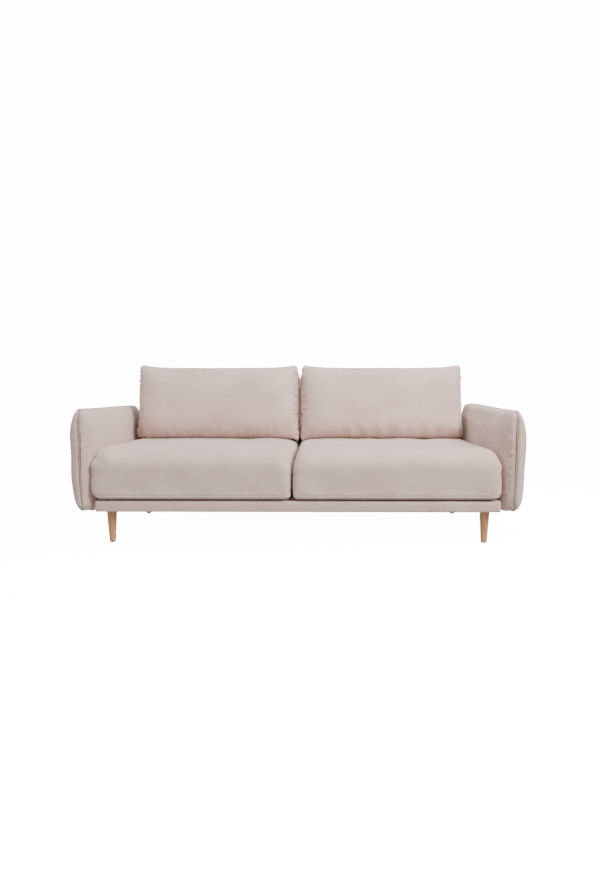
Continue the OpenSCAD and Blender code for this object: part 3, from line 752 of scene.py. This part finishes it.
def seat_cushion(side_name):
    side = SIDES[side_name]
    node = f"{side_name}_seat_cover"
    low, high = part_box(node)
    obj = quad_form(f"{side_name}_seat_skin", node, 0.012, 5)
    co = points_of(obj)
    out = normals_of(obj)
    held = np.maximum(bell(co[:, 2], seat_welt_z, 0.010), step(-out[:, 2], 0.8, 0.95))
    held = np.maximum(held, step(out[:, 1], 0.7, 0.95) * 0.6)
    inflate(obj, 0.004, 0.005, held, pressure=6.0, slack=0.01)
    move_points(obj, fit(points_of(obj), (low.x + 0.0006, low.y, low.z), (high.x - 0.0006, high.y, high.z)))
    coarse = obj.data.copy()
    refine(obj)
    move_points(obj, smoothed(obj, seat_shape(points_of(obj), normals_of(obj), side, low, high), 4))
    rough = under_layer(f"{side_name}_seat_wadding", coarse, obj, 0.005)
    core = under_layer(f"{side_name}_seat_block", coarse, obj, 0.025)
    body = f"{side_name}_seat_cushion"
    dress(obj, MATERIALS["upholstery"], body, "upholstery", node)
    dress(rough, MATERIALS["fibre"], body, "fibre", f"{side_name}_seat_wrap")
    dress(core, MATERIALS["foam"], body, "foam", f"{side_name}_seat_core")
    welt = side_loop(f"{side_name}_seat_welt", obj, seat_welt_z, 0.0028)
    dress(welt, MATERIALS["seat_welt"], body, "welt_cord")


def side_loop(name, skin, height, cord_r):
    """A cord sewn round a cushion's sides at one height, laid on its skin."""
    tree = BVHTree.FromObject(skin, bpy.context.evaluated_depsgraph_get())
    co = points_of(skin)
    low, high = co.min(0), co.max(0)
    loop = rounded_loop(low[0], high[0], low[1], high[1], 0.06, 0.009)
    centre = (low + high) / 2
    path = []
    for x, y in loop:
        middle_x = np.clip(centre[0], x - 0.1, x + 0.1)
        middle_y = np.clip(centre[1], y - 0.1, y + 0.1)
        towards = Vector((middle_x - x, middle_y - y, 0))
        towards.normalize()
        z = height + float(lifted(y))
        hit = tree.ray_cast(Vector((x, y, z)) - towards * 0.2, towards, 0.5)[0]
        if hit is not None:
            path.append(tuple(hit))
    return tube(name, path, cord_r)


# ---------- back cushions ----------


def to_pillow(co):
    """Points in a back cushion's own frame: across, through from front to rear, and up its slope."""
    c, s = math.cos(pillow_lean), math.sin(pillow_lean)
    p = co - np.array(pillow_foot)
    return np.stack([p[:, 0], p[:, 1] * c - p[:, 2] * s, p[:, 1] * s + p[:, 2] * c], 1)


def from_pillow(p):
    """The way back from a back cushion's own frame."""
    c, s = math.cos(pillow_lean), math.sin(pillow_lean)
    turned = np.stack([p[:, 0], p[:, 1] * c + p[:, 2] * s, -p[:, 1] * s + p[:, 2] * c], 1)
    return turned + np.array(pillow_foot)


def dome(distance, radius):
    """0 at an edge, rising as a quarter circle to 1 at radius from it."""
    return np.sqrt(np.clip(1 - (1 - np.clip(distance / radius, 0, 1)) ** 2, 0, 1))


# How far each back cushion's front draws in at its inner side, and how strong its creases are
pillow_draw = {-1: 0.021, 1: 0.006}
pillow_crease = {-1: 0.4, 1: 1.0}


def pillow_shape(p, side, middle, half):
    """Shapes a blown-up back cushion: full panels, eared corners, drawn-in sides and puckers."""
    a = (p[:, 0] - middle) / half
    b = 2 * p[:, 2] / pillow_height - 1
    inner = -side * a
    edge_x = half * (1 - np.abs(a))
    edge_z = pillow_height / 2 * (1 - np.abs(b))
    edge = np.minimum(edge_x, edge_z)
    front = np.where(p[:, 1] < 0, -1.0, 1.0)
    # Panels that swell from the seam, fullest towards the foot; the rear half is boxier where cushions meet
    reach_x = np.where((inner > 0) & (front > 0), 0.07, 0.17)
    full = dome(edge_x, reach_x) * np.where(b > 0, dome(edge_z, 0.25), dome(edge_z, 0.125))
    p[:, 1] += (front * full * (pillow_thick / 2 + 0.003) - p[:, 1]) * 0.85 * step(edge, 0.0, 0.012)
    # Ears at the corners, and a front panel that draws in at the sides between them
    p[:, 2] += np.maximum(b, 0) ** 3 * (0.024 * np.abs(a) ** 6 - 0.001)
    p[:, 2] -= np.maximum(-b, 0) ** 2 * 0.030 * np.maximum(inner, 0) ** 12
    p[:, 0] += np.sign(a) * np.maximum(b, 0) ** 8 * np.maximum(-inner, 0) ** 8 * 0.006
    p[:, 0] += np.sign(a) * step(b, -0.45, -0.85) * np.maximum(-inner, 0) ** 6 * 0.012
    facing = 1 - step(p[:, 1], -0.012, 0.022)
    outer_draw = 0.005 * (1 - b * b)
    inner_draw = pillow_draw[side] * step(b, -1.0, -0.3)
    p[:, 0] -= np.sign(a) * np.exp(-edge_x / 0.035) * np.where(inner > 0, inner_draw, outer_draw) * facing
    p[:, 0] += np.sign(a) * (inner > 0) * bell(edge_x, 0.028, 0.028) * 0.030 * step(p[:, 1], 0.015, 0.055)
    # Puckers gathered along the seam
    on_side = edge_x < edge_z
    along_side = ripple(p, 0.028, 61 + side, (0.2, 0.3, 1))
    along_ends = ripple(p, 0.030, 62 + side, (1, 0.3, 0.2))
    gather = np.where(on_side, along_side, along_ends)
    near = np.exp(-np.maximum(edge, 0) / 0.022)
    push = gather * near * np.where(on_side, 0.0042, 0.0020)
    p[:, 0] += np.sign(a) * on_side * gather * np.exp(-edge_x / 0.01) * 0.0016
    # Creases that rise from the foot, stronger on the right-hand cushion
    rise = bell(p[:, 2], 0.030, 0.050) * pillow_crease[side]
    creases = ripple(p, 0.060, 65 + side, (1, 0.2, 0.30)) * rise * step(edge_x, 0.0, 0.12)
    soft = ripple(p, 0.20, 67 + side) * 0.0014 + ripple(p, 0.085, 68 + side) * 0.0005
    p[:, 1] += front * (push + creases * 0.0030 * (front < 0) + soft * step(edge, 0.01, 0.07))
    # The outer lower corner folds back
    corner = step(-inner * half - 0.35 * p[:, 2], half - 0.075, half - 0.01) * step(b, -0.15, -0.6)
    p[:, 1] += corner * 0.030 * (p[:, 1] < 0.05)
    # Flat behind, round its zip
    behind = step(p[:, 1], 0.045, 0.080) * bell(p[:, 2], pillow_zip_z, 0.045) * step(edge_x, 0.04, 0.09)
    rear = pillow_thick / 2
    p[:, 1] += (rear - 0.0005 - p[:, 1]) * np.minimum(1, behind * 1.5)
    p[:, 1] = np.minimum(p[:, 1], rear - 0.0003)
    return p


def rest_on_seat(co, side):
    """Flattens a back cushion's foot on the seat. Its inner corner sags into the notch between the seats."""
    notch = 0.022 * (1 - step(np.abs(co[:, 0]), 0.004, 0.042))
    co[:, 2] = np.maximum(co[:, 2], seat_top + 0.0015 - notch)
    co[:, 0] = side * np.maximum(co[:, 0] * side, 0.00015)
    return co


def back_cushion(side_name):
    side = SIDES[side_name]
    node = f"{side_name}_pillow_cover"
    low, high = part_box(node)
    middle = (low.x + high.x) / 2
    half = (high.x - low.x) / 2
    obj = quad_form(f"{side_name}_pillow_skin", node, 0.009, 4)
    local = to_pillow(points_of(obj))
    edge_z = pillow_height / 2 - np.abs(local[:, 2] - pillow_height / 2)
    edge = np.minimum(half - np.abs(local[:, 0] - middle), edge_z)
    held = (1 - step(np.abs(local[:, 1]), 0.003, 0.010)) * (1 - step(edge, 0.008, 0.02))
    inflate(obj, 0.004, 0.008, held, pressure=6.0, slack=0.02)
    plump_low = (low.x, -pillow_thick / 2, 0)
    plump_high = (high.x, pillow_thick / 2, pillow_height)
    move_points(obj, from_pillow(fit(to_pillow(points_of(obj)), plump_low, plump_high)))
    coarse = obj.data.copy()
    refine(obj)
    co = from_pillow(pillow_shape(to_pillow(points_of(obj)), side, middle, half))
    move_points(obj, rest_on_seat(smoothed(obj, co, 1), side))
    under = under_layer(f"{side_name}_pillow_filling", coarse, obj, 0.010)
    body = f"{side_name}_back_cushion"
    dress(obj, MATERIALS["upholstery"], body, "upholstery", node)
    dress(under, MATERIALS["fibre"], body, "fibre", f"{side_name}_pillow_fill")


# ---------- carried-over CAD nodes ----------


def finish_nodes():
    for part in frame["record"]["subparts"]:
        obj = nodes[part["node"]]
        if obj.hide_render:
            continue
        obj.data.materials.clear()
        obj.data.materials.append(MATERIALS[part["material_slot"]])


# ---------- stage, light and camera ----------


def studio():
    """A white floor that sweeps up into a wall behind the sofa."""
    wall_y = cad_high.y + 8.5
    sweep = 2.5
    line = [(cad_low.y - 6, 0.0), (wall_y - sweep, 0.0)]
    turn = np.linspace(0.1, math.pi / 2, 12)
    line += [(wall_y - sweep + sweep * math.sin(a), sweep - sweep * math.cos(a)) for a in turn]
    line += [(wall_y, 11.0)]
    half = 14.0
    verts = [(x, y, z) for y, z in line for x in (-half, half)]
    faces = [(2 * i, 2 * i + 1, 2 * i + 3, 2 * i + 2) for i in range(len(line) - 1)]
    floor = mesh_object("studio_floor", verts, faces)
    shade_smooth(floor)
    s = Shader("studio_white")
    grain = s.noise(3, detail=2)
    s.link(s.ramp(grain, (0.3, (0.93, 0.93, 0.93)), (0.7, (0.95, 0.95, 0.95))), s.bsdf.inputs["Base Color"])
    s.set(Roughness=0.9, Emission_Strength=14.0, Emission_Color=(1, 1, 1, 1))
    floor.data.materials.append(s.material)
    floor.visible_diffuse = False
    floor.visible_glossy = False


def area_light(name, place, target, size, power, colour=(1, 1, 1)):
    light = bpy.data.lights.new(name, "AREA")
    light.shape = "RECTANGLE"
    light.size, light.size_y = size
    light.energy = power
    light.color = colour
    obj = bpy.data.objects.new(name, light)
    obj.location = place
    obj.rotation_euler = (Vector(target) - Vector(place)).to_track_quat("-Z", "Y").to_euler()
    bpy.context.scene.collection.objects.link(obj)


def lighting():
    world = bpy.data.worlds.new("studio_air")
    world.use_nodes = True
    world.node_tree.nodes["Background"].inputs["Color"].default_value = (1, 1, 1, 1)
    world.node_tree.nodes["Background"].inputs["Strength"].default_value = 0.66
    bpy.context.scene.world = world
    middle = (cad_low + cad_high) / 2
    area_light("key", (2.8, -2.6, 3.2), middle, (1.4, 1.4), 300, (1.0, 0.985, 0.96))
    area_light("fill", (-3.2, -3.2, 1.6), middle, (2.4, 2.0), 44)
    area_light("top", (0.4, -0.2, 3.4), middle, (3.4, 1.6), 95)


def camera():
    data = bpy.data.cameras.new("camera")
    data.lens = 23.75
    data.sensor_width = 36
    data.shift_x = -0.0076
    data.clip_end = 60
    cam = bpy.data.objects.new("camera", data)
    cam.location = (0.065, -3.265, 0.804)
    cam.rotation_euler = (math.radians(85), 0, math.radians(0.4))
    bpy.context.scene.collection.objects.link(cam)
    bpy.context.scene.camera = cam


for name in SIDES:
    arm_panel(name, "inner")
    arm_panel(name, "outer")
    arm_welt(name)
    seat_cushion(name)
    back_cushion(name)
back_panel("inside", "back_front_foam")
back_panel("outside", "back_rear_foam")
back_welt()
base_cover()
finish_nodes()
studio()
lighting()
camera()
